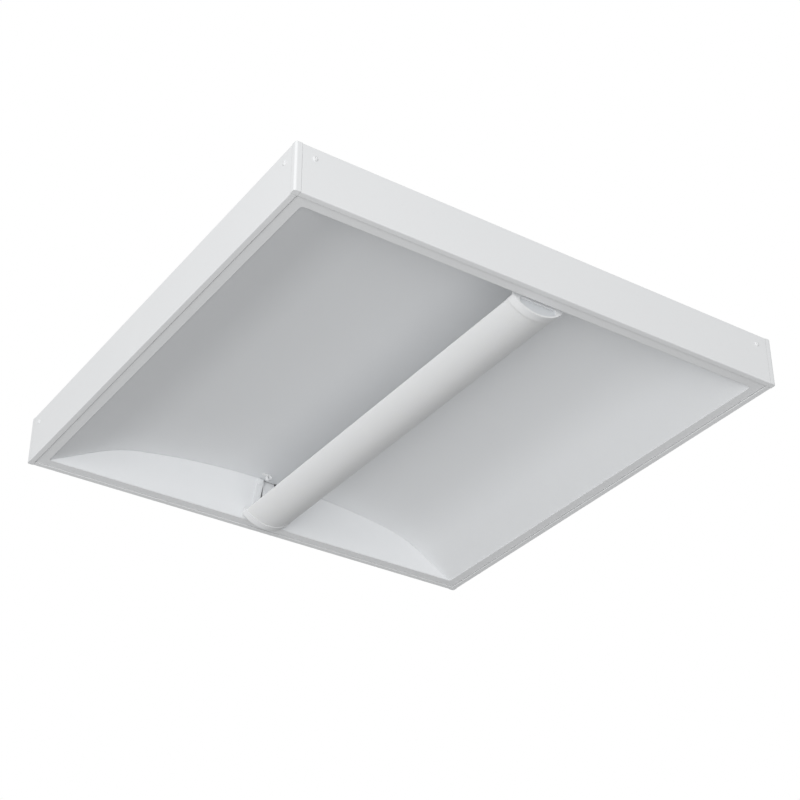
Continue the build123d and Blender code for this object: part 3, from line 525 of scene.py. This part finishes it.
# %% Which finish goes on which piece
FINISHES = {
    frame_enamel: ("side_rail_", "corner_post_", "face_frame", "corner_screws"),
    reflector_enamel: ("reflector", "end_plate_", "latch_", "hanger_arm_"),
    housing_enamel: ("housing_pan",),
    driver_enamel: ("driver_base", "driver_cover"),
    lens_acrylic: ("lens",),
    cap_plastic: ("end_cap_", "lead_clip"),
    terminal_nylon: ("terminal_block", "board_connectors"),
    bushing_nylon: ("entry_bushing",),
    bracket_zinc: ("hanger_bracket_", "frame_clips", "hinge_pins"),
    screw_zinc: (
        "rail_screws",
        "terminal_screws",
        "earth_screw",
        "driver_screws",
        "bracket_screws",
        "hanger_screws",
        "tray_screws",
        "board_screws",
    ),
    tray_aluminium: ("led_tray",),
    led_board_mask: ("led_board_",),
    chip_package: ("led_chips",),
    driver_board_resin: ("driver_board",),
    sleeve_finish: ("driver_parts",),
}


def dress(piece, finish):
    """Gives a piece one finish all over."""
    piece.data.materials.clear()
    piece.data.materials.append(finish)


def finish_of(name):
    """The finish whose list holds this name, or the start of it."""
    found = [finish for finish, starts in FINISHES.items() if name.startswith(starts)]
    assert len(found) == 1, (name, len(found))
    return found[0]


for name, piece in nodes.items():
    dress(piece, finish_of(name))
print("finishes:", len(FINISHES), "dressed:", len(nodes))

# %% [markdown]
# ## Screws by the dozen
#
# The frame's screws are plain domes that hold the right places. One good screw is turned here on
# a lathe of points: a domed head with a cross recess pressed into it, and a shank with a thread.
# A geometry tree then sets a copy on each place, facing out of the metal and given its own twist,
# because no two screws stop at the same angle. The copies are made real before they are used,
# since the finished model carries only real meshes.


# %% Finding where each screw sits
def separate_pieces(node_name):
    """The lowest and highest corner of each loose piece in a node of the frame."""
    shape = bmesh.new()
    shape.from_mesh(nodes[node_name].data)
    bmesh.ops.remove_doubles(shape, verts=shape.verts, dist=0.002 * mm)
    waiting = set(shape.verts)
    corners = []
    while waiting:
        group = [waiting.pop()]
        for vert in group:
            for edge in vert.link_edges:
                other = edge.other_vert(vert)
                if other in waiting:
                    waiting.remove(other)
                    group.append(other)
        places = [vert.co for vert in group]
        low = Vector(min(place[i] for place in places) for i in range(3))
        high = Vector(max(place[i] for place in places) for i in range(3))
        corners.append((low, high))
    shape.free()
    return sorted(corners, key=lambda pair: tuple(pair[0]))


def outward(middle):
    """The level direction out of the nearest side of the frame."""
    if abs(middle.x) > abs(middle.y):
        return Vector((1 if middle.x > 0 else -1, 0, 0))
    return Vector((0, 1 if middle.y > 0 else -1, 0))


# %% One screw, turned from its profile
AROUND = 40
HEAD_RINGS = 9
THREAD_RIDGES = 3


def cross_depth(x, y, reach, half_width):
    """How deep a cross recess is at a point of the head, from 0 to 1, with sloping walls."""
    inside = 0.0
    for along, across in ((abs(x), abs(y)), (abs(y), abs(x))):
        if along < reach and across < half_width:
            wall = min(1.0, (half_width - across) / (0.45 * half_width))
            end = min(1.0, (reach - along) / (0.5 * reach))
            inside = max(inside, wall * end)
    return inside


def turned_screw(name, head_radius, head_height, shank_radius, shank_length):
    """A screw whose head stands up from the origin and whose shank hangs below it."""
    shape = bmesh.new()
    rings = []
    for i in range(HEAD_RINGS + 1):
        share = i / HEAD_RINGS
        radius = head_radius * share
        top = head_height * (1 - 0.62 * share ** 2.4)
        ring = []
        for j in range(AROUND):
            angle = 2 * pi * j / AROUND
            x, y = radius * cos(angle), radius * sin(angle)
            cut = cross_depth(x, y, 0.62 * head_radius, 0.17 * head_radius)
            ring.append((x, y, top - cut * 0.55 * head_height))
        rings.append(ring)
    lathe = [(head_radius, 0.12 * head_height), (0.94 * head_radius, 0.0), (shank_radius, 0.0)]
    for i in range(THREAD_RIDGES):
        down = shank_length * (i + 0.5) / THREAD_RIDGES
        half_ridge = 0.22 * shank_length / THREAD_RIDGES
        lathe += [(0.86 * shank_radius, half_ridge - down), (shank_radius, -down), (0.86 * shank_radius, -half_ridge - down)]
    lathe += [(0.80 * shank_radius, -shank_length)]
    for radius, z in lathe:
        rings.append([(radius * cos(2 * pi * j / AROUND), radius * sin(2 * pi * j / AROUND), z) for j in range(AROUND)])
    verts = [[shape.verts.new(place) for place in ring] for ring in rings]
    for upper, lower in zip(verts, verts[1:]):
        for j in range(AROUND):
            shape.faces.new((upper[j], lower[j], lower[(j + 1) % AROUND], upper[(j + 1) % AROUND]))
    shape.faces.new(list(reversed(verts[-1])))
    bmesh.ops.remove_doubles(shape, verts=shape.verts, dist=0.001 * mm)
    bmesh.ops.recalc_face_normals(shape, faces=shape.faces)
    mesh = bpy.data.meshes.new(name)
    shape.to_mesh(mesh)
    shape.free()
    mesh.shade_smooth()
    mesh.set_sharp_from_angle(angle=radians(38))
    return bpy.data.objects.new(name, mesh)


# %% [markdown]
# The tree below is what sets a pattern on its places. Each place carries the direction that its
# copy faces. The twist comes from a random value with a fixed seed, so it is the same each run.


# %% A tree that sets copies on places
def placing_tree():
    """Copies of one pattern on every point of a mesh, faced and twisted, then made real."""
    tree = bpy.data.node_groups.new("set_on_places", "GeometryNodeTree")
    wanted = (
        ("Places", "INPUT", "NodeSocketGeometry"),
        ("Pattern", "INPUT", "NodeSocketObject"),
        ("Most Twist", "INPUT", "NodeSocketFloat"),
        ("Seed", "INPUT", "NodeSocketInt"),
        ("Finish", "INPUT", "NodeSocketMaterial"),
        ("Copies", "OUTPUT", "NodeSocketGeometry"),
    )
    for label, side, kind in wanted:
        tree.interface.new_socket(name=label, in_out=side, socket_type=kind)
    bench = Bench(tree)
    given = tree.nodes.new("NodeGroupInput")
    taken = {label: Value(bench, given.outputs[label]) for label, side, _ in wanted if side == "INPUT"}
    pattern = bench.node("GeometryNodeObjectInfo", {}, {"Object": taken["Pattern"]}, "Geometry")
    facing = bench.node(
        "GeometryNodeInputNamedAttribute", {"data_type": "FLOAT_VECTOR"}, {"Name": "facing"}, "Attribute"
    )
    upright = bench.node("FunctionNodeAlignRotationToVector", {"axis": "Z"}, {"Vector": facing})
    share = bench.node("FunctionNodeRandomValue", {"data_type": "FLOAT"}, {"Seed": taken["Seed"]}, 1)
    twist = bench.node(
        "FunctionNodeAxisAngleToRotation", {}, {"Axis": (0, 0, 1), "Angle": share * taken["Most Twist"]}
    )
    turned = bench.node(
        "FunctionNodeRotateRotation", {"rotation_space": "LOCAL"}, {"Rotation": upright, "Rotate By": twist}
    )
    copies = bench.node(
        "GeometryNodeInstanceOnPoints",
        {},
        {"Points": taken["Places"], "Instance": pattern, "Rotation": turned},
    )
    real = bench.node("GeometryNodeRealizeInstances", {}, {"Geometry": copies})
    painted = bench.node("GeometryNodeSetMaterial", {}, {"Geometry": real, "Material": taken["Finish"]})
    bench.node("NodeGroupOutput", {}, {"Copies": painted})
    return tree


def make_real(carrier, name, tree, **inputs):
    """Runs a tree on a carrier object and returns its result as a plain object at the origin."""
    modifier = carrier.modifiers.new("tree", "NODES")
    modifier.node_group = tree
    for item in tree.interface.items_tree:
        label = item.name.replace(" ", "_").lower()
        if item.in_out == "INPUT" and label in inputs:
            modifier[item.identifier] = inputs[label]
    bpy.context.scene.collection.objects.link(carrier)
    ready = carrier.evaluated_get(bpy.context.evaluated_depsgraph_get())
    mesh = bpy.data.meshes.new_from_object(ready)
    bpy.data.objects.remove(carrier)
    result = bpy.data.objects.new(name, mesh)
    bpy.context.scene.collection.objects.link(result)
    return result


def places_carrier(places, directions):
    """A mesh of bare points, each with the direction that its copy faces."""
    mesh = bpy.data.meshes.new("places")
    mesh.from_pydata([tuple(place) for place in places], [], [])
    facing = mesh.attributes.new("facing", "FLOAT_VECTOR", "POINT")
    for i, direction in enumerate(directions):
        facing.data[i].vector = direction
    return bpy.data.objects.new("places", mesh)


set_on_places = placing_tree()
print("tree nodes:", len(set_on_places.nodes))

# %% [markdown]
# Each row below names a screw node of the frame, the height of its head, its shank's radius and
# the way it faces. The head's radius, the shank's length and all places are measured from the
# node itself.

# %% Screws of every size
down, up = Vector((0, 0, -1)), Vector((0, 0, 1))
SCREWS = (
    ("corner_screws", 1.3 * mm, 1.9 * mm, outward, frame_enamel, "white_paint"),
    ("rail_screws", 1.3 * mm, 1.9 * mm, down, screw_zinc, "screw_steel"),
    ("terminal_screws", 1.2 * mm, 1.4 * mm, down, screw_zinc, "screw_steel"),
    ("earth_screw", 1.3 * mm, 1.9 * mm, down, screw_zinc, "screw_steel"),
    ("driver_screws", 1.3 * mm, 1.9 * mm, down, screw_zinc, "screw_steel"),
    ("bracket_screws", 1.3 * mm, 1.9 * mm, down, screw_zinc, "screw_steel"),
    ("hanger_screws", 1.2 * mm, 1.4 * mm, up, screw_zinc, "screw_steel"),
    ("tray_screws", 1.2 * mm, 1.4 * mm, up, screw_zinc, "screw_steel"),
    ("board_screws", 1.2 * mm, 1.4 * mm, down, screw_zinc, "screw_steel"),
)
for seed, (node_name, head_height, shank_radius, facing, finish, slot) in enumerate(SCREWS):
    seats, directions = [], []
    for low, high in separate_pieces(node_name):
        middle = (low + high) / 2
        direction = facing if isinstance(facing, Vector) else facing(middle)
        reach = abs((high - low).dot(direction))
        width = min(part for part, along in zip(high - low, direction) if not along)
        seats.append(middle + direction * (reach / 2 - head_height))
        directions.append(direction)
    pattern = turned_screw(node_name + "_pattern", width / 2, head_height, shank_radius, reach - head_height)
    screws = make_real(
        places_carrier(seats, directions),
        "cross_" + node_name,
        set_on_places,
        pattern=pattern,
        most_twist=2 * pi,
        seed=seed,
        finish=finish,
    )
    bpy.data.objects.remove(pattern)
    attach(screws, "fixture")
    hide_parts(node_name)
    print(node_name, len(seats), "screws,", len(screws.data.polygons), "faces")

# %% [markdown]
# ## LEDs
#
# Forty-four LEDs stand under the lens. Each is a white package with a round well full of yellow
# phosphor. The package and the phosphor are two patterns set on the same places by the same tree,
# so that each keeps its own finish.


# %% Package and phosphor
def ring_between(shape, inner, outer, flip=False):
    """Quads between two rings with the same number of points."""
    count = len(inner)
    for i in range(count):
        corners = (inner[i], outer[i], outer[(i + 1) % count], inner[(i + 1) % count])
        shape.faces.new(reversed(corners) if flip else corners)


def led_ring(shape, half_x, half_y, z, power, count):
    """Points round a rounded oblong: power 2 is an ellipse, and more is squarer."""
    ring = []
    for i in range(count):
        angle = 2 * pi * (i + 0.5) / count
        c, s = cos(angle), sin(angle)
        scale = (abs(c) ** power + abs(s) ** power) ** (-1 / power)
        ring.append(shape.verts.new((half_x * c * scale, half_y * s * scale, z)))
    return ring


def led_pattern(name, rings):
    """A closed shape from rings of (half width, half length, height, squareness)."""
    shape = bmesh.new()
    made = [led_ring(shape, *ring, 24) for ring in rings]
    for inner, outer in zip(made, made[1:]):
        ring_between(shape, inner, outer)
    shape.faces.new(made[0])
    shape.faces.new(reversed(made[-1]))
    bmesh.ops.recalc_face_normals(shape, faces=shape.faces)
    mesh = bpy.data.meshes.new(name)
    shape.to_mesh(mesh)
    shape.free()
    mesh.shade_smooth()
    mesh.set_sharp_from_angle(angle=radians(40))
    return bpy.data.objects.new(name, mesh)


chip_places = separate_pieces("led_chips")
chip_low, chip_high = chip_places[0]
chip_x, chip_y, chip_z = (chip_high - chip_low) / 2
well = 0.76 * chip_x
package_rings = (
    (well * 0.86, well * 0.86, 1.35 * chip_z, 2),
    (well, well, 1.98 * chip_z, 2),
    (chip_x * 0.93, chip_y * 0.95, 2.0 * chip_z, 8),
    (chip_x, chip_y, 1.85 * chip_z, 8),
    (chip_x, chip_y, 0.0, 8),
)
phosphor_rings = (
    (well * 0.35, well * 0.35, 1.90 * chip_z, 2),
    (well * 0.75, well * 0.75, 1.84 * chip_z, 2),
    (well * 0.96, well * 0.96, 1.70 * chip_z, 2),
    (well * 0.90, well * 0.90, 1.40 * chip_z, 2),
)
chip_seats = [Vector(((low.x + high.x) / 2, (low.y + high.y) / 2, high.z)) for low, high in chip_places]
for label, rings, finish, slot in (
    ("led_packages", package_rings, chip_package, "connector_plastic"),
    ("led_phosphor", phosphor_rings, phosphor_finish, "led_phosphor"),
):
    pattern = led_pattern(label + "_pattern", rings)
    chips = make_real(
        places_carrier(chip_seats, [down] * len(chip_seats)),
        label,
        set_on_places,
        pattern=pattern,
        most_twist=0.0,
        seed=0,
        finish=finish,
    )
    bpy.data.objects.remove(pattern)
    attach(chips, "fixture")
    if label == "led_packages":
        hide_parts("led_chips")
    print(label, len(chip_seats), "LEDs,", len(chips.data.polygons), "faces")

# %% [markdown]
# ## The arched reflector
#
# One sheet runs from side to side in three gentle arcs on each half, each arc carrying on from
# the last without a kink. The rule is short: through the crown's edge, a shoulder and a haunch
# down to the foot, each arc leaves in the direction in which the one before arrived. A geometry
# tree lays a fine grid along that line and cuts its ends to the lean of the end plates, so the
# light runs over it in one smooth sweep.

# %% The line of the arch
ring_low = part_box("face_frame")[0]
sheet_low, sheet_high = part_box("reflector")
sheet_thickness = 0.8 * mm
ring_face_top = ring_low.z + sheet_thickness
foot_flange = 8.0 * mm
mouth = sheet_high.x - foot_flange
crown_z = sheet_high.z - sheet_thickness
crown_half = 20.0 * mm
arch_points = (
    (crown_half, crown_z),
    (mouth - 110.5 * mm, crown_z - 11.8 * mm),
    (mouth - 50.5 * mm, crown_z - 29.7 * mm),
    (mouth, ring_face_top),
)
ARC_STEPS = 24


def tangent_arc(start, end, heading):
    """Points of the arc that leaves start in a direction and ends at end, and its last direction."""
    chord = atan2(end[1] - start[1], end[0] - start[0])
    length = ((end[0] - start[0]) ** 2 + (end[1] - start[1]) ** 2) ** 0.5
    turn = 2 * (chord - heading)
    points = []
    for i in range(1, ARC_STEPS + 1):
        part = turn * i / ARC_STEPS
        reach = length * sin(part / 2) / sin(turn / 2)
        points.append((start[0] + reach * cos(heading + part / 2), start[1] + reach * sin(heading + part / 2)))
    return points, heading + turn


def half_arch():
    """The arch's underside from the crown's middle to the tip of the foot flange."""
    line = [(crown_half * i / 8, crown_z) for i in range(9)]
    heading = 0.0
    for start, end in zip(arch_points, arch_points[1:]):
        points, heading = tangent_arc(start, end, heading)
        line += points
    line += [(mouth + foot_flange * share, ring_face_top) for share in (0.06, 0.5, 1.0)]
    return line


right_half = half_arch()
arch_line = [(-x, z) for x, z in reversed(right_half[1:])] + right_half
print("arch from", round(arch_line[0][0], 4), "to", round(arch_line[-1][0], 4), "with", len(arch_line), "points")

# %% A tree that lays the sheet along the line
end_lean = 0.35
flange_half = mouth - 1.5 * mm
SHEET_ACROSS = 640
SHEET_ALONG = 16


def sheet_tree():
    """A grid laid along a line, its ends cut to a lean, with a straight flange past the foot."""
    tree = bpy.data.node_groups.new("arched_sheet", "GeometryNodeTree")
    wanted = (
        ("Line", "INPUT", "NodeSocketGeometry"),
        ("Across", "INPUT", "NodeSocketInt"),
        ("Along", "INPUT", "NodeSocketInt"),
        ("Foot X", "INPUT", "NodeSocketFloat"),
        ("Foot Z", "INPUT", "NodeSocketFloat"),
        ("Foot Reach", "INPUT", "NodeSocketFloat"),
        ("Lean", "INPUT", "NodeSocketFloat"),
        ("Flange Reach", "INPUT", "NodeSocketFloat"),
        ("Finish", "INPUT", "NodeSocketMaterial"),
        ("Sheet", "OUTPUT", "NodeSocketGeometry"),
    )
    for label, side, kind in wanted:
        tree.interface.new_socket(name=label, in_out=side, socket_type=kind)
    bench = Bench(tree)
    given = tree.nodes.new("NodeGroupInput")
    taken = {label: Value(bench, given.outputs[label]) for label, side, _ in wanted if side == "INPUT"}
    grid = bench.node(
        "GeometryNodeMeshGrid",
        {},
        {"Size X": 1.0, "Size Y": 2.0, "Vertices X": taken["Across"], "Vertices Y": taken["Along"]},
    )
    line = bench.node("GeometryNodeMeshToCurve", {}, {"Mesh": taken["Line"]})
    flat = bench.node("GeometryNodeInputPosition", {}, {})
    share = bench.node("ShaderNodeSeparateXYZ", {}, {0: flat}, 0) + 0.5
    side = bench.node("ShaderNodeSeparateXYZ", {}, {0: flat}, 1)
    on_line = bench.node(
        "GeometryNodeSampleCurve", {"mode": "FACTOR"}, {"Curves": line, "Factor": share}, "Position"
    )
    x = bench.node("ShaderNodeSeparateXYZ", {}, {0: on_line}, 0)
    z = bench.node("ShaderNodeSeparateXYZ", {}, {0: on_line}, 2)
    leaning = taken["Foot Reach"] - taken["Lean"] * (z - taken["Foot Z"])
    past_foot = abs(x) > taken["Foot X"] + 0.02 * mm
    reach = leaning + past_foot * (taken["Flange Reach"] - leaning)
    place = bench.node("ShaderNodeCombineXYZ", {}, {0: x, 1: side * reach, 2: z})
    laid = bench.node("GeometryNodeSetPosition", {}, {"Geometry": grid, "Position": place})
    real = bench.node("GeometryNodeRealizeInstances", {}, {"Geometry": laid})
    painted = bench.node("GeometryNodeSetMaterial", {}, {"Geometry": real, "Material": taken["Finish"]})
    bench.node("NodeGroupOutput", {}, {"Sheet": painted})
    return tree


def line_carrier(points):
    """A mesh of one open line through points of the XZ plane."""
    mesh = bpy.data.meshes.new("arch_line")
    mesh.from_pydata([(x, 0, z) for x, z in points], [(i, i + 1) for i in range(len(points) - 1)], [])
    return bpy.data.objects.new("arch_line", mesh)


# %% The sheet itself
def give_wall(piece, wall, offset):
    """Thickens a sheet to one side, smooths its faces and keeps its rim sharp."""
    thick = piece.modifiers.new("wall", "SOLIDIFY")
    thick.thickness = wall
    thick.offset = offset
    ready = piece.evaluated_get(bpy.context.evaluated_depsgraph_get())
    mesh = bpy.data.meshes.new_from_object(ready)
    piece.modifiers.clear()
    piece.data = mesh
    mesh.shade_smooth()
    mesh.set_sharp_from_angle(angle=radians(35))


arched_sheet = make_real(
    line_carrier(arch_line),
    "arched_reflector",
    sheet_tree(),
    across=SHEET_ACROSS,
    along=SHEET_ALONG,
    foot_x=mouth,
    foot_z=ring_face_top,
    foot_reach=sheet_high.y,
    lean=end_lean,
    flange_reach=flange_half,
    finish=reflector_enamel,
)
give_wall(arched_sheet, sheet_thickness, 1.0)
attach(arched_sheet, "fixture")
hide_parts("reflector")


def measure(piece):
    """The piece's box in millimetres."""
    places = [vert.co for vert in piece.data.vertices]
    return [[round(f(place[i] for place in places) / mm, 2) for i in range(3)] for f in (min, max)]


frame_sheet = [[round(v / mm, 2) for v in corner] for corner in (sheet_low, sheet_high)]
print("arched reflector", measure(arched_sheet), "frame", frame_sheet)

# %% [markdown]
# ## The lens
#
# The lens is drawn through a die: one section, the same from end to end. Its outside is a shallow
# arc, and its edges turn in under the tray. The frame's lens is made of a few flat strips, which
# is enough to hold its place but not to carry a highlight, so the same section is drawn again
# here with a fine arc.

# %% A section drawn along the light
lens_low, lens_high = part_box("lens")
lens_radius = 43.0 * mm
lens_wall = 2.0 * mm
lens_lip_wall = 1.6 * mm
lens_lip_reach = 8.5 * mm
lens_shoulder = 1.0 * mm
LENS_STEPS = 72


def arc_through(half_width, edge_z, radius, steps):
    """Points of the arc that hangs below two edges, from left to right."""
    centre_z = edge_z + (radius ** 2 - half_width ** 2) ** 0.5
    spread = atan2(half_width, centre_z - edge_z)
    angles = [spread * (2 * i / steps - 1) for i in range(steps + 1)]
    return [(radius * sin(angle), centre_z - radius * cos(angle)) for angle in angles]


def lens_section():
    """The lens's outline, anticlockwise seen from the near end."""
    half_width = lens_high.x
    top = lens_high.z
    edge_z = top - lens_shoulder
    centre_z = edge_z + (lens_radius ** 2 - half_width ** 2) ** 0.5
    inner_radius = lens_radius - lens_wall
    lip_under = top - lens_lip_wall
    inner_half = (inner_radius ** 2 - (centre_z - lip_under) ** 2) ** 0.5
    lip_in = half_width - lens_lip_reach
    outside = arc_through(half_width, edge_z, lens_radius, LENS_STEPS)
    inside = arc_through(inner_half, lip_under, inner_radius, LENS_STEPS)
    right_lip = [(half_width, top), (lip_in, top), (lip_in, lip_under)]
    left_lip = [(-x, z) for x, z in reversed(right_lip)]
    return outside + right_lip + list(reversed(inside)) + left_lip


def drawn_section(name, section, y_low, y_high, finish):
    """A closed section carried straight from one end to the other."""
    shape = bmesh.new()
    ends = [[shape.verts.new((x, y, z)) for x, z in section] for y in (y_low, y_high)]
    count = len(section)
    for i in range(count):
        j = (i + 1) % count
        shape.faces.new((ends[0][i], ends[0][j], ends[1][j], ends[1][i]))
    for end in ends:
        shape.faces.new(end)
    bmesh.ops.recalc_face_normals(shape, faces=shape.faces)
    bmesh.ops.triangulate(shape, faces=[face for face in shape.faces if len(face.verts) > 4])
    mesh = bpy.data.meshes.new(name)
    shape.to_mesh(mesh)
    shape.free()
    mesh.shade_smooth()
    mesh.set_sharp_from_angle(angle=radians(30))
    mesh.materials.append(finish)
    piece = bpy.data.objects.new(name, mesh)
    bpy.context.scene.collection.objects.link(piece)
    return piece


drawn_lens = drawn_section("drawn_lens", lens_section(), lens_low.y, lens_high.y, lens_acrylic)
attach(drawn_lens, "lens_door")
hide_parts("lens")
print("drawn lens", measure(drawn_lens))
